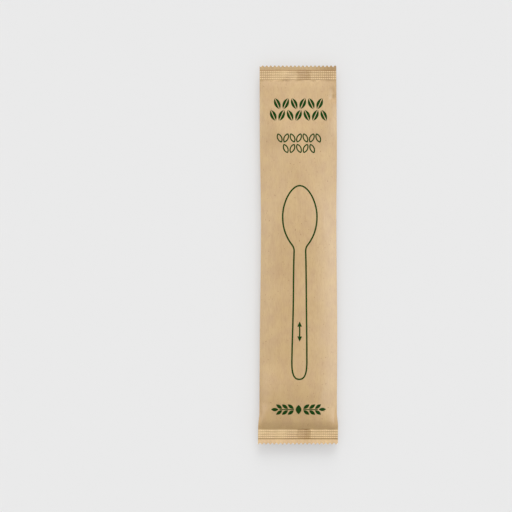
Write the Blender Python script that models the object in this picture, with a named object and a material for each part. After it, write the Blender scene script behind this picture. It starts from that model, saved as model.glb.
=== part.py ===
"""Wrapped wooden spoon: a kraft paper flow pack sealed round a wooden spoon, lying on its back.

The pack is sealed and can't be seen into, so it is one closed solid. Its length runs along Y with
the bowl of the spoon towards +Y, its width along X and its front faces +Z. It rests on z = 0.
Everything is in metres.
"""

import math

import bmesh
import bpy

# The pack as a whole
PACK_LENGTH = 0.190  # over the tips of the teeth at both cut ends
BACK_DEPTH = 0.0038  # the lying face below the middle of the end seals
HANDLE_CROWN = 0.0039  # the front face above the middle of the seals, over the handle
BOWL_CROWN = 0.0044  # the same over the bowl, where the pack is fullest
BOWL_CENTRE = 0.016  # from the pack's middle towards the bowl end
BOWL_REACH = 0.032  # half the length that the bowl lifts

# Widths of the tube, from side crease to side crease
TOP_SEAL_WIDTH = 0.0385
NECK_WIDTH = 0.0386  # just inside the top slope
WAIST_WIDTH = 0.0378  # over the bowl
FOOT_WIDTH = 0.0388  # just inside the bottom slope
BOTTOM_SEAL_WIDTH = 0.0400
FRONT_ROUNDNESS = 2.35  # the power of the front's curve from side to side: 2 is a parabola
SIDE_SLOPE = 0.0058  # width of the rounded rise from the flat back to each side crease
SIDE_EDGE = 0.0004  # thickness at the side creases

# Crimped end seals
SEAL_THICKNESS = 0.0004
RIDGE_COUNT = 4
RIDGE_PITCH = 0.00115
RIDGE_HEIGHT = 0.00026
TOP_STRIP = 0.00145  # plain paper between the crimp and the roots of the teeth
BOTTOM_STRIP = 0.00195
TOOTH_DEPTH = 0.0010
TOOTH_PITCH = 0.00202
TOP_CURL = math.radians(8)  # how far each plain strip bends towards the front
BOTTOM_CURL = math.radians(15)

# How the tube opens from the end seals: the back along one rounded slope, and the front fast
# beside the crimp and then slowly, the more so at the top
SLOPE_LENGTH = 0.012
TOP_STEEP = 0.011
TOP_GENTLE = 0.042
TOP_STEEP_SHARE = 0.45  # of the full height, gained along the steep length
BOTTOM_STEEP = 0.005
BOTTOM_GENTLE = 0.015
BOTTOM_STEEP_SHARE = 0.3

# The long back seam: both edges of the web sealed into a fin that is folded flat towards +X
FIN_WIDTH = 0.0075
FIN_THICKNESS = 0.00035
FIN_CLEARANCE = 0.0003  # between the folded fin and the back
BACK_LIFT = 0.0005  # the back beyond the fin's free edge stays this far off the ground
FIN_PATCH = 0.00015  # extra thickness where the fin runs through the crimps
FIN_TUCK = 0.0035  # the fin is fast from here to the crimp
FIN_STEP = 0.0015  # past its edge, where the gap behind the fin comes out under the lifted back

# Fineness of the mesh
BODY_ROWS = 20
SLOPE_ROWS = 5
ROWS_PER_RIDGE = 6
COLUMNS_PER_TOOTH = 2

KRAFT_PAPER = (0.60, 0.43, 0.24, 1.0)
PAPER_ROUGHNESS = 0.75

HALF_LENGTH = PACK_LENGTH / 2
CRIMP_LENGTH = RIDGE_COUNT * RIDGE_PITCH
TOP_CRIMP_OUT = HALF_LENGTH - TOOTH_DEPTH - TOP_STRIP
TOP_CRIMP_IN = TOP_CRIMP_OUT - CRIMP_LENGTH
BOTTOM_CRIMP_OUT = -HALF_LENGTH + TOOTH_DEPTH + BOTTOM_STRIP
BOTTOM_CRIMP_IN = BOTTOM_CRIMP_OUT + CRIMP_LENGTH
BODY_TOP = TOP_CRIMP_IN - SLOPE_LENGTH
BODY_BOTTOM = BOTTOM_CRIMP_IN + SLOPE_LENGTH
TOOTH_COUNT = round(TOP_SEAL_WIDTH / TOOTH_PITCH)
COLUMNS = TOOTH_COUNT * COLUMNS_PER_TOOTH
COLUMN_WIDTH = TOP_SEAL_WIDTH / COLUMNS


def ease(share):
    """A smooth run from 0 to 1."""
    share = min(max(share, 0.0), 1.0)
    return share * share * (3 - 2 * share)


def spread(start, end, count):
    """The ends of count equal steps from start to end, without start itself."""
    return [start + (end - start) * (step + 1) / count for step in range(count)]


def stations():
    """Where the cross rows of the mesh lie along Y, from the bottom tips to the top tips."""
    crimp_rows = RIDGE_COUNT * ROWS_PER_RIDGE
    rows = [-HALF_LENGTH, BOTTOM_CRIMP_OUT]
    rows += spread(BOTTOM_CRIMP_OUT, BOTTOM_CRIMP_IN, crimp_rows)
    rows += spread(BOTTOM_CRIMP_IN, BODY_BOTTOM, SLOPE_ROWS)
    rows += spread(BODY_BOTTOM, BODY_TOP, BODY_ROWS)
    rows += spread(BODY_TOP, TOP_CRIMP_IN, SLOPE_ROWS)
    rows += spread(TOP_CRIMP_IN, TOP_CRIMP_OUT, crimp_rows)
    return rows + [HALF_LENGTH]


def quarter_wave(run, length):
    """A rise from 0 that is level again from its full length on."""
    return math.sin(math.pi / 2 * min(max(run / length, 0.0), 1.0))


def back_fullness(y):
    """How far the back has opened: 0 in the seals, 1 along the body."""
    return quarter_wave(min(TOP_CRIMP_IN - y, y - BOTTOM_CRIMP_IN), SLOPE_LENGTH)


def two_rises(run, steep, gentle, steep_share):
    return steep_share * quarter_wave(run, steep) + (1 - steep_share) * quarter_wave(run, gentle)


def front_fullness(y):
    """How far the front has opened, from both ends."""
    from_top = two_rises(TOP_CRIMP_IN - y, TOP_STEEP, TOP_GENTLE, TOP_STEEP_SHARE)
    from_foot = two_rises(y - BOTTOM_CRIMP_IN, BOTTOM_STEEP, BOTTOM_GENTLE, BOTTOM_STEEP_SHARE)
    return from_top * from_foot


def width_at(y):
    """The tube's width, which draws in where the pack is full."""
    if y > BODY_TOP:
        return NECK_WIDTH + (TOP_SEAL_WIDTH - NECK_WIDTH) * ease((y - BODY_TOP) / SLOPE_LENGTH)
    if y > BOWL_CENTRE:
        share = (y - BOWL_CENTRE) / (BODY_TOP - BOWL_CENTRE)
        return WAIST_WIDTH + (NECK_WIDTH - WAIST_WIDTH) * ease(share)
    if y > BODY_BOTTOM:
        share = (BOWL_CENTRE - y) / (BOWL_CENTRE - BODY_BOTTOM)
        return WAIST_WIDTH + (FOOT_WIDTH - WAIST_WIDTH) * ease(share)
    return FOOT_WIDTH + (BOTTOM_SEAL_WIDTH - FOOT_WIDTH) * ease((BODY_BOTTOM - y) / SLOPE_LENGTH)


def front_fall(x, y):
    """1 along the middle of the front, which is rounded from side crease to side crease."""
    return 1 - min(abs(x) / (width_at(y) / 2), 1.0) ** FRONT_ROUNDNESS


def back_fall(x, y):
    """1 on the flat of the back, falling to 0 at the side crease."""
    beyond_flat = abs(x) - (width_at(y) / 2 - SIDE_SLOPE)
    return math.cos(math.pi / 2 * min(max(beyond_flat / SIDE_SLOPE, 0.0), 1.0))


def ridge(y):
    """The height of the crimp's ridges, pressed through the whole thickness of each seal."""
    for low, high in ((TOP_CRIMP_IN, TOP_CRIMP_OUT), (BOTTOM_CRIMP_OUT, BOTTOM_CRIMP_IN)):
        if low < y < high:
            return RIDGE_HEIGHT / 2 * (1 - math.cos(2 * math.pi * (y - low) / RIDGE_PITCH))
    return 0.0


def curl(y):
    """How far the plain strip outside each crimp has bent up."""
    return (
        max(y - TOP_CRIMP_OUT, 0.0) * math.tan(TOP_CURL)
        + max(BOTTOM_CRIMP_OUT - y, 0.0) * math.tan(BOTTOM_CURL)
    )


def half_edge(y):
    """Half the thickness of the seals, and half that of the side creases along the body."""
    return (SEAL_THICKNESS + (SIDE_EDGE - SEAL_THICKNESS) * back_fullness(y)) / 2


def front_height(x, y):
    bowl = ease(1 - abs(y - BOWL_CENTRE) / BOWL_REACH)
    crown = HANDLE_CROWN + (BOWL_CROWN - HANDLE_CROWN) * bowl
    seal = BACK_DEPTH + half_edge(y) + ridge(y) + curl(y)
    return seal + (crown - half_edge(y)) * front_fullness(y) * front_fall(x, y)


def back_height(x, y):
    """The back: flat on the ground from the left side to the fin's edge, and lifted beyond it."""
    seal = BACK_DEPTH - half_edge(y)
    lift = BACK_LIFT if x > FIN_WIDTH else 0.0
    patch = FIN_PATCH * (1 - back_fullness(y)) if 0 < x < FIN_WIDTH else 0.0
    return seal - (seal - lift) * back_fullness(y) * back_fall(x, y) + ridge(y) + curl(y) - patch


def kraft_paper():
    material = bpy.data.materials.new("kraft_paper")
    material.use_nodes = True
    shader = material.node_tree.nodes["Principled BSDF"]
    shader.inputs["Base Color"].default_value = KRAFT_PAPER
    shader.inputs["Roughness"].default_value = PAPER_ROUGHNESS
    shader.inputs["Metallic"].default_value = 0.0
    material.diffuse_color = KRAFT_PAPER
    return material


def gridded_box(columns, rows):
    """A unit box from 0 to 1, its upper and lower faces cut into columns along X and rows along Y."""
    box = bmesh.new()
    bmesh.ops.create_cube(box, size=1.0)
    bmesh.ops.translate(box, verts=box.verts, vec=(0.5, 0.5, 0.5))
    for axis, cuts in ((1, rows - 1), (0, columns - 1)):
        along = [
            edge for edge in box.edges
            if abs(edge.verts[0].co[axis] - edge.verts[1].co[axis]) > 0.5
        ]
        bmesh.ops.subdivide_edges(box, edges=along, cuts=cuts, use_grid_fill=True)
    return box


def finish_object(shape, name, collection):
    mesh = bpy.data.meshes.new(name)
    bmesh.ops.recalc_face_normals(shape, faces=shape.faces)
    shape.to_mesh(mesh)
    shape.free()
    made = bpy.data.objects.new(name, mesh)
    collection.objects.link(made)
    return made


def make_pack(collection):
    """The sealed pack: a gridded box, with every corner of the grid moved to its place."""
    rows = stations()
    shape = gridded_box(COLUMNS, len(rows) - 1)
    for vertex in shape.verts:
        column = round(vertex.co.x * COLUMNS)
        y = rows[round(vertex.co.y * (len(rows) - 1))]
        if column % COLUMNS_PER_TOOTH == 0:
            y = min(max(y, TOOTH_DEPTH - HALF_LENGTH), HALF_LENGTH - TOOTH_DEPTH)
        x = (column / COLUMNS - 0.5) * width_at(y)
        vertex.co = (x, y, front_height(x, y) if vertex.co.z > 0.5 else back_height(x, y))
    pack = finish_object(shape, "wrapped_spoon", collection)
    pack.data.materials.append(kraft_paper())
    return pack


def make_fin_cutter(collection):
    """The gap behind the folded fin: a thin slit along the back that opens beside its free edge."""
    start = BOTTOM_CRIMP_IN + FIN_TUCK
    end = TOP_CRIMP_IN - FIN_TUCK
    rows = [start] + [y for y in stations() if start < y < end] + [end]
    across = (0.0, FIN_WIDTH - FIN_THICKNESS / 2, FIN_WIDTH, FIN_WIDTH + FIN_STEP)
    shape = gridded_box(len(across) - 1, len(rows) - 1)
    for vertex in shape.verts:
        column = round(vertex.co.x * (len(across) - 1))
        y = rows[round(vertex.co.y * (len(rows) - 1))]
        height = back_height(0.0, y)
        if vertex.co.z > 0.5:
            height += FIN_THICKNESS + FIN_CLEARANCE
        elif column < 2:
            height += FIN_THICKNESS
        else:
            height -= FIN_CLEARANCE
        vertex.co = (across[column], y, height)
    return finish_object(shape, "fin_gap", collection)


def cut(piece, cutter):
    cutter.hide_render = True
    cutter.display_type = "WIRE"
    boolean = piece.modifiers.new(cutter.name, "BOOLEAN")
    boolean.operation = "DIFFERENCE"
    boolean.solver = "EXACT"
    boolean.object = cutter


for old in list(bpy.data.objects):
    bpy.data.objects.remove(old)
parts = bpy.data.collections.new("wrapped_spoon")
cutters = bpy.data.collections.new("cutters")
for group in (parts, cutters):
    bpy.context.scene.collection.children.link(group)

pack = make_pack(parts)
cut(pack, make_fin_cutter(cutters))
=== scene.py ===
import math

import bmesh
import bpy
import numpy as np
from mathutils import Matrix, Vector, noise
from mathutils.bvhtree import BVHTree
from mathutils.geometry import interpolate_bezier


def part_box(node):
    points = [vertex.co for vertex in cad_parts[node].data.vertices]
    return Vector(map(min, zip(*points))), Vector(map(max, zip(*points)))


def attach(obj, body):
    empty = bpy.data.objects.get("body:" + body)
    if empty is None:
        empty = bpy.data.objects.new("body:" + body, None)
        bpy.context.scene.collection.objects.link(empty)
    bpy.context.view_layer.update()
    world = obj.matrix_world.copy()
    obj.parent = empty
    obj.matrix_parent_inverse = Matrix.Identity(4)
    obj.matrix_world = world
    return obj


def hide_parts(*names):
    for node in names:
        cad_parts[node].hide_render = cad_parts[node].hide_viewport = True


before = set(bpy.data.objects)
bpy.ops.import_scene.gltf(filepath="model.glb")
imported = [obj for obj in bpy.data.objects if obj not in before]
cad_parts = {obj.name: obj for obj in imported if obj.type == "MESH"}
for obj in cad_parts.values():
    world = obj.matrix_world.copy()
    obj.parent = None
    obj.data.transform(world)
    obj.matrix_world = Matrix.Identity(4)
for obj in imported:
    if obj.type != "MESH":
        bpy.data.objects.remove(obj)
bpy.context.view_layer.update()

# Paper wrapper. One web of brown kraft paper, 60 g/m2, is folded into a tube round the spoon. Each
# end is crimped flat between heated jaws with four cross ridges and cut off with a zigzag knife.
MM = 0.001
pack_low, pack_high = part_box("wrapped_spoon")
HALF_LENGTH = (pack_high.y - pack_low.y) / 2
BOTTOM_SEAL_WIDTH = pack_high.x - pack_low.x
TOP_SEAL_WIDTH = 38.4 * MM
NECK_WIDTH = 38.6 * MM
WAIST_WIDTH = 37.8 * MM
FOOT_WIDTH = 38.8 * MM
NECK_PLACE = 62 * MM  # where the tube has each of these widths; it has its waist at the bowl
FOOT_PLACE = -50 * MM
FLARE_START = -79 * MM  # below this it widens again, into the bottom seal
FLARE_RUN = 7 * MM
BOW = 0.4 * MM  # how far the pack's middle lies to the right of its ends
BOW_BACK = 0.38  # the share of the bow by which its ends lie left of the pack's centre line
BOWL_CENTRE = 16 * MM
SEAL_HEIGHT = 3.8 * MM  # the middle of the end seals above the ground
CROWN = 4.1 * MM  # the front above the seals
BOWL_LIFT = 0.3 * MM
BOWL_REACH = 32 * MM
PAPER = 0.12 * MM  # half the thickness of the layers pressed together in a seal

TOOTH_DEPTH = 1.0 * MM
TOP_TEETH = (-17.64 * MM, 2.014 * MM)  # where one tooth has its tip, and how far apart the teeth are
BOTTOM_TEETH = (-18.02 * MM, 2.06 * MM)
RIDGES = 4
RIDGE_PITCH = 1.15 * MM
RIDGE_HEIGHT = 0.11 * MM
JAW_SHIFT = 0.07 * MM  # how far the top crimp's first groove lies inside its edge
HATCHES = 38
HATCH_DEPTH = 0.06 * MM
TOP_STRIP = 1.72 * MM
BOTTOM_STRIP = 1.82 * MM
TOP_CURL = math.tan(math.radians(8))
BOTTOM_CURL = math.tan(math.radians(15))
TOP_OPENING = 5 * MM  # the tube opens a little beside the top crimp, and slowly to the full height
TOP_OPENED = 0.12  # the share of the full height that it has reached by then
TOP_SLOPE = 46 * MM
BOTTOM_STEEP = 5 * MM  # the foot rises fast over this length, and then more slowly
BOTTOM_OPENED = 0.28
BOTTOM_GENTLE = 25 * MM
CORNER_LIFT = 0.9 * MM  # the side creases stand up a little just beside the bottom crimp
CORNER_RISE = 3 * MM
CORNER_REACH = 14.3 * MM
CORNER_FALL = 11 * MM
BACK_SLOPE = 12 * MM
SIDE_SLOPE = 5.8 * MM

CRIMP = RIDGES * RIDGE_PITCH
TOP_OUT = HALF_LENGTH - TOOTH_DEPTH - TOP_STRIP
TOP_IN = TOP_OUT - CRIMP
BOTTOM_OUT = -HALF_LENGTH + TOOTH_DEPTH + BOTTOM_STRIP
BOTTOM_IN = BOTTOM_OUT + CRIMP

# The power of the front's curve from side to side, and how it changes along the pack: where each
# change starts, the run over which it comes, negative towards the foot, and how much it adds
FRONT_ROUNDNESS = 2.35
ABOVE_BOWL = (14 * MM, 26 * MM, -1.0)
TOWARDS_TOP = (52 * MM, 32 * MM, 7.0)
TOWARDS_FOOT = (-52 * MM, -30 * MM, 3.0)
BESIDE_CRIMP = (BOTTOM_IN + 14 * MM, -13 * MM, 10.0)

# The flatter strip along the right side: its slope, with two such changes, and its reach along the
# pack: start, rise, end and fall
STRIP_SLOPE = 0.42
STRIP_BELOW_BOWL = (20 * MM, -26 * MM, 0.09)
STRIP_AT_FOOT = (-48 * MM, -32 * MM, -0.22)
STRIP_OPENING = 1.25  # it reaches its slope where the body has four fifths of its height
CREASE_SOFTNESS = 0.06 * MM
STRIP_REACH = (-92 * MM, 22 * MM, 32 * MM, 18 * MM)

# Small dents in the front: place along X and Y, reach and depth, in millimetres. A negative depth
# is a small bulge.
DENTS = ((17.1, 82.0, 1.1, 0.50), (17.3, 78.5, 1.6, 0.80), (-13.8, -1.0, 1.1, 0.09),
         (8.6, -40.5, 2.0, -0.06), (14.8, 5.5, 2.2, -0.06), (3.6, -69.5, 2.4, -0.05))

# The paper's soft relief: how high its lumps are and how wide
BROAD_LUMPS = 0.11 * MM
BROAD_SIZE = 15 * MM
SMALL_LUMPS = 0.035 * MM
SMALL_SIZE = 6 * MM
BACK_LUMPS = 0.10 * MM
BACK_SIZE = 14 * MM
PUCKERS = 0.10 * MM  # narrow folds that run from the end seals a little way into the body
PUCKER_SIZE = 2.6 * MM
PUCKER_STRETCH = 0.12  # their width as a share of their length
PUCKER_REACH = 4.5 * MM
NOISE_GAIN = 1.6  # plain noise stays within about 0.6
DENT_EDGE = 3  # beside the side creases the dents fade out over the first third of the height
SOFT_EDGE = 2  # and the soft relief over the first half
SLOPE_EDGE = (0.75, -0.3, 1.0)  # where the back's lumps end, so that its flat stays plain

FIN_WIDTH = 7.5 * MM
FIN_GAP = 0.5 * MM  # the back stands this far off the ground over the folded fin
FIN_FOLD = (-0.4 * MM, 0.8 * MM)  # where the back steps up over it along X: start and run
FIN_LAYERS = 0.12 * MM  # how much further the crimps stand out where the fin runs through them
COLUMNS_PER_HATCH = 5
HAIR = 0.001 * MM  # points nearer than this are the same


def ease(share):
    """A share from 0 to 1 with a soft start and a soft end."""
    share = np.clip(share, 0.0, 1.0)
    return share * share * (3 - 2 * share)


def change(place, start, run, amount):
    """What a change adds at a place: nothing up to its start, and all of it after its run."""
    return amount * ease((place - start) / run)


def between(place, start, rise, end, fall):
    """1 from the start to the end, with a soft rise after the one and a soft fall before the other."""
    return ease((place - start) / rise) * ease((end - place) / fall)


def tube_width(y):
    """The flat tube draws in where the pack is full."""
    width = NECK_WIDTH + change(y, NECK_PLACE, TOP_OUT - NECK_PLACE, TOP_SEAL_WIDTH - NECK_WIDTH)
    width += change(y, NECK_PLACE, BOWL_CENTRE - NECK_PLACE, WAIST_WIDTH - NECK_WIDTH)
    width += change(y, BOWL_CENTRE, FOOT_PLACE - BOWL_CENTRE, FOOT_WIDTH - WAIST_WIDTH)
    return width + change(y, FLARE_START, -FLARE_RUN, BOTTOM_SEAL_WIDTH - FOOT_WIDTH)


def bowed(x, y):
    """Where x comes to lie, because the pack isn't quite straight."""
    return x + BOW * (np.cos(math.pi / 2 * y / HALF_LENGTH) - BOW_BACK)


def rounded_rise(run, reach):
    """A quarter wave, from 0 at the start of the run to 1 where it has gone the whole reach."""
    return np.sin(math.pi / 2 * np.clip(run / reach, 0.0, 1.0))


def fullness(y):
    """0 in the seals and 1 along the body. The pack opens slowly at the top and fast at the foot."""
    from_top = TOP_IN - y
    from_foot = y - BOTTOM_IN
    beside_top = TOP_OPENED * rounded_rise(from_top, TOP_OPENING)
    slope = (1 - TOP_OPENED) * ease(from_top / TOP_SLOPE)
    steep = BOTTOM_OPENED * rounded_rise(from_foot, BOTTOM_STEEP)
    gentle = (1 - BOTTOM_OPENED) * rounded_rise(from_foot, BOTTOM_GENTLE)
    return (beside_top + slope) * (steep + gentle)


def front_fall(x, y):
    """1 along the middle of the front and 0 at the side creases. The front slopes more evenly above
    the bowl, and stays full nearly to the corners beside the crimps."""
    power = FRONT_ROUNDNESS + change(y, *ABOVE_BOWL) + change(y, *TOWARDS_TOP)
    power = power + change(y, *TOWARDS_FOOT) * (x <= 0) + change(y, *BESIDE_CRIMP)
    return 1 - np.clip(np.abs(x) / (tube_width(y) / 2), 0.0, 1.0) ** power


def corner_lift(y):
    """How high the side creases stand above the seals' level."""
    from_foot = y - BOTTOM_IN
    fall = ease((CORNER_REACH - from_foot) / CORNER_FALL)
    return CORNER_LIFT * rounded_rise(from_foot, CORNER_RISE) * fall


def back_fall(x, y):
    """1 on the flat of the back, falling to 0 at the side crease."""
    beyond_flat = np.abs(x) - (tube_width(y) / 2 - SIDE_SLOPE)
    return np.cos(math.pi / 2 * np.clip(beyond_flat / SIDE_SLOPE, 0.0, 1.0))


def back_fullness(y):
    """The back opens along one rounded slope at each end."""
    return rounded_rise(np.minimum(TOP_IN - y, y - BOTTOM_IN), BACK_SLOPE)


def from_crest(phase):
    """0 on the crests of a repeated pattern and 1 in its grooves, which lie at the whole numbers."""
    return 1 - np.abs(phase - np.round(phase)) * 2


def jaw_marks(x, y):
    """Where the cross ridges' and the fine hatch's grooves lie, and whether y is in a crimp at all."""
    from_edge = np.where(y > 0, y - TOP_IN, y - BOTTOM_OUT)
    inside = np.abs(from_edge - CRIMP / 2) < CRIMP / 2 + HAIR
    ridge = from_crest((from_edge - JAW_SHIFT * (y > 0)) / RIDGE_PITCH)
    hatch = from_crest((x / tube_width(y) + 0.5) * HATCHES)
    return ridge, hatch, inside


def crimp_height(x, y):
    """Rounded ridges with narrow grooves between, and the finer grooves of the jaw across them."""
    ridge, hatch, inside = jaw_marks(x, y)
    relief = RIDGE_HEIGHT * (1 - ridge ** 4) - HATCH_DEPTH * hatch ** 3 * (1 - ridge)
    return np.where(inside, relief, 0.0)


def strip_curl(y):
    """The plain strips outside the crimps bend towards the front."""
    return np.maximum(y - TOP_OUT, 0) * TOP_CURL + np.maximum(BOTTOM_OUT - y, 0) * BOTTOM_CURL


def soft_noise(x, y, size, seed):
    """Smooth random relief from about -1 to 1, with lumps of about the given size."""
    points = np.stack([np.ravel(x) / size, np.ravel(y) / size], axis=1)
    values = [noise.noise(Vector((p, q, seed))) for p, q in points]
    return np.reshape(values, np.shape(x)) * NOISE_GAIN


def creased(body, x, y):
    """The body with a flatter strip between a soft crease and its right side, which fades out above
    the bowl and towards the foot."""
    slope = STRIP_SLOPE + change(y, *STRIP_BELOW_BOWL) + change(y, *STRIP_AT_FOOT)
    strip = slope * (tube_width(y) / 2 - x) * np.minimum(1.0, fullness(y) * STRIP_OPENING)
    folded = 0.5 * (body + strip - np.sqrt((body - strip) ** 2 + CREASE_SOFTNESS ** 2))
    return body + (folded - body) * between(y, *STRIP_REACH)


def dimple(x, y, at_x, at_y, reach):
    """1 at a small dent and 0 a little more than its reach away."""
    return np.exp(-((x - at_x) ** 2 + (y - at_y) ** 2) / reach ** 2)


def front_height(x, y):
    """The height of the front above the ground."""
    bowl = ease(1 - np.abs(y - BOWL_CENTRE) / BOWL_REACH)
    full = fullness(y)
    side = front_fall(x, y)
    body = (CROWN + BOWL_LIFT * bowl) * full * side
    body = np.maximum(creased(body, x, y), corner_lift(y))
    for at_x, at_y, reach, depth in DENTS:
        dent = depth * MM * dimple(x, y, at_x * MM, at_y * MM, reach * MM)
        body = body - dent * np.minimum(1.0, side * DENT_EDGE)
    relief = BROAD_LUMPS * soft_noise(x, y, BROAD_SIZE, 3.1)
    relief = relief + SMALL_LUMPS * soft_noise(x, y, SMALL_SIZE, 7.7)
    near_seal = np.exp(-np.minimum(np.abs(TOP_IN - y), np.abs(y - BOTTOM_IN)) / PUCKER_REACH)
    pucker = PUCKERS * near_seal * soft_noise(x, y * PUCKER_STRETCH, PUCKER_SIZE, 11.4)
    soft = (relief * full + pucker * (full > 0)) * np.minimum(1.0, side * SOFT_EDGE)
    return SEAL_HEIGHT + PAPER + body + crimp_height(x, y) + strip_curl(y) + soft


def seam_side(x, y):
    """The back as the fin follows it, with nothing between the paper and the ground."""
    fall = back_fall(x, y)
    open_tube = (SEAL_HEIGHT - PAPER) * (1 - back_fullness(y) * fall) + corner_lift(y) * (1 - fall) ** 2
    return open_tube + crimp_height(x, y) + strip_curl(y)


def back_height(x, y):
    """The height of the back above the ground, which it leaves to the fin right of the middle."""
    full = back_fullness(y)
    side = back_fall(x, y)
    over_fin = change(x, *FIN_FOLD, FIN_GAP) * full * np.minimum(1.0, side * SOFT_EDGE)
    layers = FIN_LAYERS * (1 - full) * (x > 0) * (x < FIN_WIDTH)
    relief = BACK_LUMPS * (1 + soft_noise(x, y, BACK_SIZE, 21.3)) * full
    return seam_side(x, y) + over_fin + relief * change(side, *SLOPE_EDGE) * side - layers


def row_places():
    """Where the rows of the mesh lie along Y: close in the crimps, wider along the body. Each run of
    rows has its start, its end and how many rows it holds."""
    foot, neck, beside_top = -68 * MM, 50 * MM, TOP_IN - 0.12 * MM
    runs = ((-HALF_LENGTH, BOTTOM_OUT, 11), (BOTTOM_OUT, BOTTOM_IN, 40), (BOTTOM_IN, foot, 30),
            (foot, neck, 80), (neck, beside_top, 34), (beside_top, TOP_IN, 1),
            (TOP_IN, TOP_OUT, 40), (TOP_OUT, HALF_LENGTH, 10))
    steps = [np.linspace(start, end, count, endpoint=False) for start, end, count in runs]
    return np.append(np.concatenate(steps), HALF_LENGTH)


def saw_edge(x, y):
    """Where y comes to lie: the outermost rows are pulled back between the teeth."""
    top, bottom = (1 - from_crest((x - tip) / pitch) for tip, pitch in (TOP_TEETH, BOTTOM_TEETH))
    notch = np.where(y > 0, top, bottom) * TOOTH_DEPTH
    cut_zone = TOOTH_DEPTH + 1.2 * MM
    return y - np.sign(y) * notch * np.clip((np.abs(y) - HALF_LENGTH + cut_zone) / cut_zone, 0, 1)


# The fin's ragged patch in the crimps, and its darkest part: start, rise, end and fall along X
FIN_PATCH = (-0.9 * MM, 0.8 * MM, 7.4 * MM, 2.2 * MM)
FIN_CORE = (3.0 * MM, 1.2 * MM, 6.8 * MM, 1.2 * MM)
PATCH_SHARE = 0.6  # the darkest part has the rest
PATCH_RAG = 0.7 * MM
RAG_SIZE = 1.6 * MM
# The grooves are darker on the right, and at the top also near the left corner
GROOVE_WEIGHT = 0.75
DARKER_RIGHT = (-3 * MM, 6 * MM, 0.35)
DARKER_TOP_LEFT = (-11 * MM, -4 * MM, 0.4)
GROOVE_SWING = 0.3
SWING_SIZE = 6 * MM
CREST_HIGHLIGHT = 0.32  # how much a painted highlight brightens the ridges' crests
# how dark the grooves are made: partly the jaws' mark, partly painted shade
GROOVE_DARK = 1.20
HATCH_DARK = (0.55, 0.25)  # at the top and at the bottom, against the ridges' grooves
PATCH_DARK = (0.25, 0.32)  # how much darker the fin's patch is, at the top and at the bottom
PATCH_GROOVES = 0.30  # and how much more in its grooves
TOP_FADE = 0.2  # how much each crimp's innermost groove fades
BOTTOM_FADE = 0.7
PATCH_HOLDS = 0.6  # and how much less the bottom one does over the fin
FADE_WIDTH = 0.3 * MM
CLOUDS = 0.05  # the soft unevenness of the pressing
CLOUD_SIZE = 4 * MM
TOP_STRIP_RIGHT = (8 * MM, 9 * MM, 0.30)  # the plain strips: the top one darkens towards the right
# both plain strips also get a little painted highlight
TOP_STRIP_BRIGHT = 0.07
BOTTOM_STRIP_PATCH = 0.12
BOTTOM_STRIP_BRIGHT = 0.02
TOP_LINE = TOP_OUT + 0.12 * MM  # the dark lines along the crimps' outer edges: each crimp's first groove, with painted shade in the fold where the plain strip bends away
BOTTOM_LINE = BOTTOM_OUT + 0.1 * MM
LINE_WIDTH = 0.23 * MM
TOP_LINE_DARK = 0.70
BOTTOM_LINE_DARK = 0.45
BOTTOM_LINE_LEFT = (2 * MM, -8 * MM, -0.07)


def near(distance, reach):
    """1 where the distance is nothing, and next to 0 at twice the reach."""
    return np.exp(-(distance / reach) ** 2)


def pressing_and_painted_light(x, y):
    """How dark or bright the paper is made, from less than 0 where it is made bright to more than 1
    where it is made dark: in the grooves, partly as the jaws' mark and partly as painted shade, and
    where the fin makes four layers. The crests and the plain strips get a painted highlight, and
    painted shade follows the fold along each crimp's outer edge."""
    ridge, hatch, inside = jaw_marks(x, y)
    top = y > 0
    ragged = x + PATCH_RAG * soft_noise(x, y, RAG_SIZE, 37.0)
    core = (1 - PATCH_SHARE) * between(ragged, *FIN_CORE)
    patch = PATCH_SHARE * between(ragged, *FIN_PATCH) + core
    groove_weight = GROOVE_WEIGHT + change(x, *DARKER_RIGHT) + change(x, *DARKER_TOP_LEFT) * top
    groove_weight = groove_weight + GROOVE_SWING * soft_noise(x, y, SWING_SIZE, 33.0)
    # painted shade in the fold along each crimp's outer edge, over its first groove
    outer_groove_and_shade = near(np.minimum(np.abs(y - TOP_LINE), np.abs(y - BOTTOM_LINE)), LINE_WIDTH)
    inner_line = near(np.minimum(np.abs(y - TOP_IN), np.abs(y - BOTTOM_IN)), FADE_WIDTH)
    fades = inner_line * np.where(top, TOP_FADE, BOTTOM_FADE * (1 - PATCH_HOLDS * patch))
    fine = hatch ** 3 * np.where(top, *HATCH_DARK)
    # the grooves' darkening: partly the jaws' mark, partly painted shade
    groove = groove_weight * np.maximum(ridge ** 3.2, fine) * (1 - fades)
    # on the crests this is below 0: a painted highlight
    bare = GROOVE_DARK * groove - CREST_HIGHLIGHT + CLOUDS * soft_noise(x, y, CLOUD_SIZE, 31.0)
    crimp_and_painted_light = bare + (np.where(top, *PATCH_DARK) + PATCH_GROOVES * groove) * patch
    in_strip = np.abs(y) > HALF_LENGTH - TOOTH_DEPTH - BOTTOM_STRIP
    top_strip = change(x, *TOP_STRIP_RIGHT) - TOP_STRIP_BRIGHT
    bottom_strip = BOTTOM_STRIP_PATCH * patch - BOTTOM_STRIP_BRIGHT
    plain = in_strip * np.where(top, top_strip, bottom_strip)
    line_dark = np.where(top, TOP_LINE_DARK, BOTTOM_LINE_DARK + change(x, *BOTTOM_LINE_LEFT))
    return np.where(inside, crimp_and_painted_light, plain) + line_dark * outer_groove_and_shade


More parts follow.
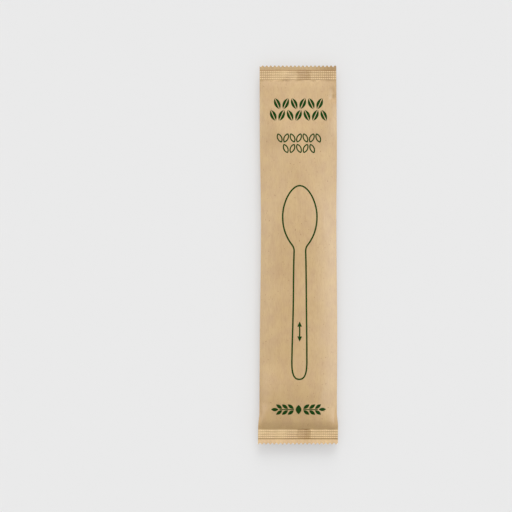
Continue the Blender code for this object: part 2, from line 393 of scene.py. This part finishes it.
def paper_sheet(shape, start, end, columns, height):
    """Adds a grid over all the rows, from one share of the tube's width to another, and notes on each
    point its crimp marks, with the painted shade and highlight that go with them."""
    rows = row_places()
    layer = shape.verts.layers.float.get("pressed") or shape.verts.layers.float.new("pressed")
    grid = bmesh.ops.create_grid(shape, x_segments=columns, y_segments=len(rows) - 1, size=0.5)["verts"]
    corners = np.array([vertex.co for vertex in grid])
    y = rows[np.round((corners[:, 1] + 0.5) * (len(rows) - 1)).astype(int)]
    x = ((corners[:, 0] + 0.5) * (end - start) + start) * tube_width(y)
    places = np.stack([bowed(x, y), saw_edge(x, y), height(x, y)], axis=1)
    for vertex, place, amount in zip(grid, places, pressing_and_painted_light(x, y)):
        vertex.co = place
        vertex[layer] = amount


def shown(shape, name, material, sharp=50):
    """Makes the shape an object with its material, shaded smooth except at its sharp edges."""
    mesh = bpy.data.meshes.new(name)
    bmesh.ops.recalc_face_normals(shape, faces=shape.faces)
    shape.to_mesh(mesh)
    shape.free()
    mesh.shade_smooth()
    mesh.set_sharp_from_angle(angle=math.radians(sharp))
    mesh.materials.append(material)
    piece = bpy.data.objects.new(name, mesh)
    bpy.context.scene.collection.objects.link(piece)
    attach(piece, "root")
    return piece


def linear(code):
    """An sRGB hex colour as linear red, green, blue and alpha."""
    channels = [int(code[i:i + 2], 16) / 255 for i in (1, 3, 5)]
    return [c / 12.92 if c <= 0.04045 else ((c + 0.055) / 1.055) ** 2.4 for c in channels] + [1.0]


def add_node(tree, kind, settings=None, inputs=None, links=None):
    """Adds a node, sets its options and inputs, and links its inputs to other nodes' outputs."""
    node = tree.nodes.new(kind)
    for name, value in (settings or {}).items():
        setattr(node, name, value)
    for name, value in (inputs or {}).items():
        node.inputs[name].default_value = value
    for name, (source, output) in (links or {}).items():
        tree.links.new(source.outputs[output], node.inputs[name])
    return node


MIX_A, MIX_B, MIXED = 6, 7, 2  # a mix node's two colours and its result


def kraft_paper():
    """Machine-glazed kraft pulp: cloudy brown, with fine fibres mostly along the web, a few dark specks
    of bark, a soft gloss from the hot cylinder, and smoother in the crimps. It is darker there, partly
    as the jaws' mark and partly as painted shade in the grooves, and a painted highlight brightens the
    crests and the plain strips."""
    material = bpy.data.materials.new("kraft_paper")
    material.use_nodes = True
    tree = material.node_tree
    shader = tree.nodes["Principled BSDF"]
    shader.inputs["IOR"].default_value = 1.5
    place = add_node(tree, "ShaderNodeTexCoord")

    def pattern(lump_x, lump_y, detail, turn=0.0):
        """Noise with lumps of the given size across and along the pack, turned in its plane."""
        scaled = add_node(tree, "ShaderNodeMapping", inputs={
            "Rotation": (0, 0, math.radians(turn)), "Scale": (1 / lump_x, 1 / lump_y, 1 / lump_x)},
            links={"Vector": (place, "Object")})
        return add_node(tree, "ShaderNodeTexNoise", inputs={"Scale": 1.0, "Detail": detail},
                        links={"Vector": (scaled, "Vector")})

    def shade(under, factor, colour, low, high):
        """Multiplies the colour under it where the factor runs from low to high."""
        share = add_node(tree, "ShaderNodeMapRange", inputs={"From Min": low, "From Max": high},
                         links={"Value": factor})
        return add_node(tree, "ShaderNodeMix", {"data_type": "RGBA", "blend_type": "MULTIPLY"},
                        {MIX_B: linear(colour)}, {"Factor": (share, "Result"), MIX_A: (under, MIXED)})

    cloud = pattern(11 * MM, 16 * MM, 3.0)
    brown = add_node(tree, "ShaderNodeMix", {"data_type": "RGBA"},
                     {MIX_A: linear("#be9d69"), MIX_B: linear("#c9aa78")}, {"Factor": (cloud, "Fac")})
    tint = shade(brown, (pattern(5 * MM, 7 * MM, 2.0, 20), "Fac"), "#f8f5fb", 0.35, 0.65)
    along = shade(tint, (pattern(0.7 * MM, 14 * MM, 2.0), "Fac"), "#fbf9f6", 0.40, 0.75)
    fibre_one = shade(along, (pattern(0.22 * MM, 2.4 * MM, 2.0, 25), "Fac"), "#f6f2ea", 0.50, 0.72)
    fibre_two = shade(fibre_one, (pattern(0.22 * MM, 2.4 * MM, 2.0, -32), "Fac"), "#f6f2ea", 0.52, 0.74)
    speck = shade(fibre_two, (pattern(0.5 * MM, 0.9 * MM, 0.0, 10), "Fac"), "#ceb898", 0.79, 0.86)
    pressed = add_node(tree, "ShaderNodeAttribute", {"attribute_name": "pressed"})
    # darkens where the attribute is above 0: the crimps' marks, with painted shade in their grooves and
    # along their outer edges
    crimp_and_painted_light = shade(speck, (pressed, "Fac"), "#b59c38", 0.0, 1.0)
    # a painted highlight where the attribute is below 0, on the crests and the plain strips
    painted_highlight = add_node(tree, "ShaderNodeMapRange", inputs={"From Min": 0.0, "From Max": -0.5},
                       links={"Value": (pressed, "Fac")})
    bright = add_node(tree, "ShaderNodeMix", {"data_type": "RGBA"}, {MIX_B: linear("#f2d6a4")},
                      {"Factor": (painted_highlight, "Result"), MIX_A: (crimp_and_painted_light, MIXED)})
    tree.links.new(bright.outputs[MIXED], shader.inputs["Base Color"])
    gloss = add_node(tree, "ShaderNodeMapRange", inputs={"To Min": 0.50, "To Max": 0.36},
                     links={"Value": (pressed, "Fac")})
    tree.links.new(gloss.outputs["Result"], shader.inputs["Roughness"])
    grain = add_node(tree, "ShaderNodeBump", inputs={"Strength": 0.35, "Distance": 0.04 * MM},
                     links={"Height": (pattern(0.35 * MM, 1.6 * MM, 3.0, -12), "Fac")})
    tree.links.new(grain.outputs["Normal"], shader.inputs["Normal"])
    return material


kraft = kraft_paper()
shape = bmesh.new()
for height in (front_height, back_height):
    paper_sheet(shape, -0.5, 0.5, HATCHES * COLUMNS_PER_HATCH, height)
bmesh.ops.bridge_loops(shape, edges=[edge for edge in shape.edges if edge.is_boundary])
wrapper = shown(shape, "paper_wrapper", kraft)
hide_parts("wrapped_spoon")

# Back fin. The two long edges of the web are sealed face to face between rollers and the fin is
# folded flat to one side. It runs through both crimps, and its free edge lies loose on the back.
FIN_THICKNESS = 0.14 * MM  # two layers of the paper
FIN_LINES = 5  # the sealing rollers' lines along it
FIN_LINE_HEIGHT = 0.02 * MM
FIN_WAVES = 0.05 * MM
FIN_WAVE_SIZE = 11 * MM
FIN_WAVE_STRETCH = 0.4  # their length along the fin as a share of their width across it
FIN_SINK = 0.04 * MM  # how far it is pressed into the layers of the crimps
fin_share = FIN_WIDTH / TOP_SEAL_WIDTH


def fin_height(x, y):
    """Pressed into the crimps at the ends, and flat on the ground between them."""
    line = FIN_LINE_HEIGHT * (1 + np.cos(2 * math.pi * FIN_LINES * x / FIN_WIDTH))
    wave = FIN_WAVES * (1 + soft_noise(x * FIN_WAVE_STRETCH, y, FIN_WAVE_SIZE, 41.0))
    flat = seam_side(x, y) - (FIN_LAYERS + FIN_SINK) * (1 - back_fullness(y))
    return flat + (wave + line) * back_fullness(y)


shape = bmesh.new()
paper_sheet(shape, 0.0, fin_share, 30, fin_height)
sheet = shape.faces[:] + shape.edges[:] + shape.verts[:]
bmesh.ops.solidify(shape, geom=sheet, thickness=-FIN_THICKNESS)
shown(shape, "back_fin", kraft)

# Green print: the outline of a spoon. One dark green ink, printed by flexography on the flat web
# before it was folded, so the thin film follows each bend of the paper and lets its fibres show.
INK_LIFT = 0.03 * MM  # the film's top above the paper
INK_SINK = 0.05 * MM  # and its thickness, downwards
SPOON_CENTRE = 0.71 * MM
SPOON_DRIFT = 0.3 * MM  # the outline runs this far to the left towards its foot
DRIFT_START = -20 * MM
DRIFT_RUN = 45 * MM
OUTLINE_STROKE = 0.78 * MM
OUTLINE_STEPS = 26  # the points on each of its curves
paper = BVHTree.FromObject(wrapper, bpy.context.evaluated_depsgraph_get())


def on_paper(x, y):
    """The place of the ink's top on the front, found by looking straight down from 1 m above."""
    hit = paper.ray_cast(Vector((x, y, 1.0)), Vector((0, 0, -1)))[0]
    return Vector((x, y, hit.z + INK_LIFT))


def green_ink():
    """Thin flexographic ink, matt, with the paper's fibres showing through a little."""
    material = bpy.data.materials.new("green_ink")
    material.use_nodes = True
    tree = material.node_tree
    shader = tree.nodes["Principled BSDF"]
    shader.inputs["Roughness"].default_value = 0.6
    shader.inputs["Specular IOR Level"].default_value = 0.05
    place = add_node(tree, "ShaderNodeTexCoord")
    cover = add_node(tree, "ShaderNodeTexNoise", inputs={"Scale": 1 / (0.5 * MM), "Detail": 3.0},
                     links={"Vector": (place, "Object")})
    green = add_node(tree, "ShaderNodeMix", {"data_type": "RGBA"},
                     {MIX_A: linear("#0a3307"), MIX_B: linear("#1f450d")}, {"Factor": (cover, "Fac")})
    tree.links.new(green.outputs[MIXED], shader.inputs["Base Color"])
    return material


def ink_line(shape, path, strokes, closed=False):
    """Adds a flat ribbon along the path, two faces wide, lying on the paper. It has one stroke width
    for the whole path, or a list with a width for each point."""
    if not isinstance(strokes, list):
        strokes = [strokes] * (len(path) + closed)
    before = path[-1:] + path if closed else path[:1] + path[:-1]
    after = path[1:] + path[:2] if closed else path[1:] + path[-1:]
    path = path + path[:1] if closed else path
    grid = bmesh.ops.create_grid(shape, x_segments=2, y_segments=len(path) - 1, size=0.5)["verts"]
    for vertex in grid:
        i = round((vertex.co.y + 0.5) * (len(path) - 1))
        along = (after[i] - before[i]).normalized()
        across = Vector((-along.y, along.x)) * strokes[i]
        vertex.co = on_paper(*(path[i] + across * vertex.co.x))
    if closed:
        bmesh.ops.remove_doubles(shape, verts=grid, dist=HAIR)


def printed(shape, name):
    """Gives the flat ink a hair of thickness, down into the paper, and shows it."""
    bmesh.ops.recalc_face_normals(shape, faces=shape.faces)
    bmesh.ops.reverse_faces(shape, faces=[face for face in shape.faces if face.normal.z < 0])
    film = shape.faces[:] + shape.edges[:] + shape.verts[:]
    bmesh.ops.solidify(shape, geom=film, thickness=INK_SINK)
    shown(shape, name, ink, sharp=60)


ink = green_ink()
# Half of the outline, from the tip of the bowl to the end of the handle: a point and the handles
# of the curve before and after it, each as half width and place along the pack, in millimetres.
OUTLINE = (
    ((0, 34.5), (0, 34.5), (4.2, 34.5)),
    ((8.56, 26.6), (8.56, 19.0), (8.56, 9.6)),
    ((3.8, 5.2), (3.34, 4.1), (3.03, 3.37)),
    ((2.87, 2.8), (2.87, 1.6), (3.1, -4.0)),
    ((3.15, -12.0), (3.22, -20.0), (3.28, -30.0)),
    ((3.68, -44.0), (3.74, -53.0), (3.78, -58.9)),
    ((2.9, -62.0), (0, -62.0), (0, -62.0)),
)


def spoon_middle(y):
    """Where the middle of the outline lies along X."""
    return SPOON_CENTRE - float(change(y, DRIFT_START, -DRIFT_RUN, SPOON_DRIFT))


def spoon_outline():
    """The whole outline as one closed path."""
    right = []
    for (_, start, leave), (arrive, end, _) in zip(OUTLINE, OUTLINE[1:]):
        points = (Vector(p).to_3d() for p in (start, leave, arrive, end))
        right += interpolate_bezier(*points, OUTLINE_STEPS)[:-1]
    right = [Vector((p.x, p.y)) * MM for p in right] + [Vector(OUTLINE[-1][1]) * MM]
    left = [Vector((-p.x, p.y)) for p in reversed(right[1:-1])]
    return [Vector((p.x + spoon_middle(p.y), p.y)) for p in right + left]


shape = bmesh.new()
ink_line(shape, spoon_outline(), OUTLINE_STROKE, closed=True)
printed(shape, "printed_spoon_outline")

# Green print: leaves. Two rows of bold ones, each split along its vein by bare paper, over two
# rows of fine open ones. They lean left and right by turns, like a plain border, in the same ink.
BOLD_LEAF = (6.0 * MM, 3.0 * MM)  # length and width
FINE_LEAF = (4.3 * MM, 2.0 * MM)
BOLD_VEIN = 0.36 * MM
LEAST_STROKE = 0.1 * MM  # a filled leaf's ink is no narrower, its two halves taken together
FINE_STROKE = 0.62 * MM
LEAF_LEAN = math.radians(24)
LEAF_POINTS = 28  # round an open leaf
LEAF_PARTS = 14  # along a filled one
OPEN_LEAF_DRAW = 0.5  # how much an open leaf's sides draw in towards its points
LEAF_FULLNESS = 0.8  # the power of a filled leaf's curve; less makes it fuller
LEAF_TIP = 0.04  # where that curve is cut off, so that the points have some width
# Each row: where its middle lies along X and Y, how wide it is, and how many leaves it has
BOLD_ROWS = ((0.1 * MM, 75.7 * MM, 25.5 * MM, 6), (0.1 * MM, 69.8 * MM, 29.5 * MM, 7))
FINE_ROWS = ((0.3 * MM, 58.4 * MM, 22.5 * MM, 7), (0.3 * MM, 53.1 * MM, 16.5 * MM, 5))


def leaf_path(x, y, length, width, turn):
    """The outline of a leaf, pointed at both ends."""
    path = []
    for angle in np.linspace(0, 2 * math.pi, LEAF_POINTS, endpoint=False):
        along = length / 2 * math.cos(angle)
        aside = width / 2 * math.sin(angle) * abs(math.sin(angle)) ** OPEN_LEAF_DRAW
        path.append(Vector((x + along * math.cos(turn) - aside * math.sin(turn),
                            y + along * math.sin(turn) + aside * math.cos(turn))))
    return path


def ink_leaf(shape, x, y, length, width, turn, vein=0.0):
    """Adds a filled leaf as a ribbon that is widest in the middle, or as two halves beside a bare
    vein."""
    shares = np.linspace(-0.5, 0.5, LEAF_PARTS + 1)
    along = Vector((math.cos(turn), math.sin(turn)))
    curve = [max(math.cos(math.pi * t), LEAF_TIP) ** LEAF_FULLNESS for t in shares]
    widths = [max(width * share, vein + LEAST_STROKE) for share in curve]
    for side in (-1, 1) if vein else (0,):
        path = [Vector((x, y)) + along * length * t + side * along.orthogonal() * (wide + vein) / 4
                for t, wide in zip(shares, widths)]
        ink_line(shape, path, [(wide - vein) / 2 if vein else wide for wide in widths])


def leaf_row(row_x, row_y, row_width, leaves):
    """The middle and the turn of each leaf in a row."""
    for i in range(leaves):
        turn = math.pi / 2 + LEAF_LEAN * (-1 if i % 2 else 1)
        yield row_x + row_width * ((i + 0.5) / leaves - 0.5), row_y, turn


shape = bmesh.new()
for row in BOLD_ROWS:
    for x, y, turn in leaf_row(*row):
        ink_leaf(shape, x, y, *BOLD_LEAF, turn, BOLD_VEIN)
printed(shape, "printed_bold_leaves")

shape = bmesh.new()
for row in FINE_ROWS:
    for x, y, turn in leaf_row(*row):
        ink_line(shape, leaf_path(x, y, *FINE_LEAF, turn), FINE_STROKE, closed=True)
printed(shape, "printed_fine_leaves")

# Green print: the length arrow. A plain stroke with a filled head at each end, in the same ink,
# along the handle of the outline.
ARROW_MIDDLE = -38.2 * MM
ARROW_HALF = 5.0 * MM
HEAD_LENGTH = 2.6 * MM
HEAD_WIDTH = 2.4 * MM
HEAD_STEP = 0.1 * MM  # the run over which the stroke widens into the head
HEAD_TIP = 0.05 * MM
ARROW_STROKE = 0.7 * MM
shape = bmesh.new()
half_path = [(0.0, ARROW_STROKE), (ARROW_HALF - HEAD_LENGTH, ARROW_STROKE),
             (ARROW_HALF - HEAD_LENGTH + HEAD_STEP, HEAD_WIDTH), (ARROW_HALF, HEAD_TIP)]
steps = [(-run, width) for run, width in reversed(half_path[1:])] + half_path
arrow_path = [Vector((spoon_middle(ARROW_MIDDLE), ARROW_MIDDLE + run)) for run, _ in steps]
ink_line(shape, arrow_path, [width for _, width in steps])
printed(shape, "printed_length_arrow")

# Green print: the spray near the foot. A seed in the middle, and pairs of leaves on a thin stem to
# each side of it, in the same ink.
SPRAY_PLACE = (0.1 * MM, -77.2 * MM)
SPRAY_SEED = (4.6 * MM, 2.9 * MM)  # length and width
SPRAY_LEAF = (3.6 * MM, 1.7 * MM)
SPRAY_OPEN = math.radians(36)
STEM_START = 2.3 * MM
STEM_END = 9.6 * MM
STEM_STROKE = 0.45 * MM
STEM_POINTS = 12
LEAF_PAIRS = 3
FIRST_PAIR = 3.9 * MM
PAIR_STEP = 2.9 * MM
PAIR_LIFT = 1.5 * MM
END_LEAF = 11.9 * MM
shape = bmesh.new()
spray_x, spray_y = SPRAY_PLACE
ink_leaf(shape, spray_x, spray_y, *SPRAY_SEED, math.pi / 2)
for side in (-1, 1):
    runs = np.linspace(STEM_START, STEM_END, STEM_POINTS)
    ink_line(shape, [Vector((spray_x + side * run, spray_y)) for run in runs], STEM_STROKE)
    for pair in range(LEAF_PAIRS):
        leaf_x = spray_x + side * (FIRST_PAIR + PAIR_STEP * pair)
        for lift in (-1, 1):
            turn = (0 if side > 0 else math.pi) + side * lift * SPRAY_OPEN
            ink_leaf(shape, leaf_x, spray_y + lift * PAIR_LIFT, *SPRAY_LEAF, turn)
    ink_leaf(shape, spray_x + side * END_LEAF, spray_y, *SPRAY_LEAF, 0.0)
printed(shape, "printed_leaf_spray")

# Camera. It hangs straight above the place that the photograph's centre shows, on a long lens, so
# the pack lies right of the middle and is seen square from the front.
MM_PER_PIXEL = 1 / 1.995
PHOTO_SIZE = 512
PACK_CENTRE = (298.2, 254.9)  # the pixel at which the pack's origin is seen
LENS = 100.0  # focal length and film width, both in millimetres
SENSOR = 36.0
camera_data = bpy.data.cameras.new("camera")
camera_data.lens = LENS
camera_data.sensor_width = SENSOR
camera = bpy.data.objects.new("camera", camera_data)
view_width = PHOTO_SIZE * MM_PER_PIXEL * MM
camera.location = (
    (PHOTO_SIZE / 2 - PACK_CENTRE[0]) * MM_PER_PIXEL * MM,
    (PACK_CENTRE[1] - PHOTO_SIZE / 2) * MM_PER_PIXEL * MM,
    SEAL_HEIGHT + view_width * LENS / SENSOR,
)
bpy.context.scene.collection.objects.link(camera)
bpy.context.scene.camera = camera

# Floor. A pale matt sweep. Part of what the camera sees of it is its own even colour, as on a
# light table, so the pack's shadow stays light. Other rays see plain matt grey.
PALE = "#eaeaea"
SHADOW_LIFT = 0.42
FLOOR_REACH = 3.0


def seen_directly(tree):
    """1 for the rays that show a background: from the camera, in gloss and through glass."""
    path = add_node(tree, "ShaderNodeLightPath")
    either = add_node(tree, "ShaderNodeMath", {"operation": "MAXIMUM"}, links={
        0: (path, "Is Camera Ray"), 1: (path, "Is Glossy Ray")})
    return add_node(tree, "ShaderNodeMath", {"operation": "MAXIMUM"}, links={
        0: (either, "Value"), 1: (path, "Is Transmission Ray")})


def pale_floor():
    """Matt painted board: plain and without gloss, and partly an even colour where it is seen."""
    material = bpy.data.materials.new("pale_floor")
    material.use_nodes = True
    tree = material.node_tree
    matt = tree.nodes["Principled BSDF"]
    matt.inputs["Base Color"].default_value = linear(PALE)
    matt.inputs["Roughness"].default_value = 1.0
    matt.inputs["Specular IOR Level"].default_value = 0.0
    even = add_node(tree, "ShaderNodeEmission", inputs={"Color": linear(PALE)})
    lift = add_node(tree, "ShaderNodeMath", {"operation": "MULTIPLY"}, {1: SHADOW_LIFT},
                    {0: (seen_directly(tree), "Value")})
    mix = add_node(tree, "ShaderNodeMixShader", links={
        0: (lift, "Value"), 1: (matt, "BSDF"), 2: (even, "Emission")})
    tree.links.new(mix.outputs["Shader"], tree.nodes["Material Output"].inputs["Surface"])
    return material


shape = bmesh.new()
bmesh.ops.create_grid(shape, x_segments=1, y_segments=1, size=FLOOR_REACH)
floor_data = bpy.data.meshes.new("floor")
shape.to_mesh(floor_data)
shape.free()
floor_data.materials.append(pale_floor())
floor = bpy.data.objects.new("floor", floor_data)
bpy.context.scene.collection.objects.link(floor)

# Light. An even white studio, a soft lamp low over the top end of the pack, and a broad one like a
# window behind it. Together they light a level matt surface to just the colour that it is given.
# Three more lamps show only as a soft gloss on the paper.
STUDIO = 0.66
WINDOW = 0.10
# Each lamp: its name, its share of full light, how wide it is, how far it leans off the zenith, and
# the bearing that it leans to, turned from +Y to +X, in degrees
LAMPS = (("key", 1 - STUDIO - WINDOW, 38, 61, 4), ("window", WINDOW, 100, 40, 0))
SHEEN_LAMPS = (("right_sheen", 0.69, 40, 56, 90), ("left_sheen", 0.46, 40, 54, -70),
               ("top_sheen", 0.30, 40, 26, 0))


def soft_sun(name, share, spread, lean, bearing):
    """A sun that gives a level floor the given share of full light."""
    data = bpy.data.lights.new(name, "SUN")
    data.energy = share * math.pi / math.cos(math.radians(lean))
    data.angle = math.radians(spread)
    sun = bpy.data.objects.new(name, data)
    sun.rotation_euler = (-math.radians(lean), 0, -math.radians(bearing))
    bpy.context.scene.collection.objects.link(sun)
    return sun


for lamp in LAMPS:
    soft_sun(*lamp)
for lamp in SHEEN_LAMPS:
    soft_sun(*lamp).visible_diffuse = False

world = bpy.data.worlds.new("studio")
bpy.context.scene.world = world
world.use_nodes = True
tree = world.node_tree
surround = add_node(tree, "ShaderNodeMix", {"data_type": "RGBA"},
                    {MIX_A: (STUDIO, STUDIO, STUDIO, 1), MIX_B: linear(PALE)},
                    {"Factor": (seen_directly(tree), "Value")})
tree.links.new(surround.outputs[MIXED], tree.nodes["Background"].inputs["Color"])

bpy.context.scene.view_settings.view_transform = "Standard"
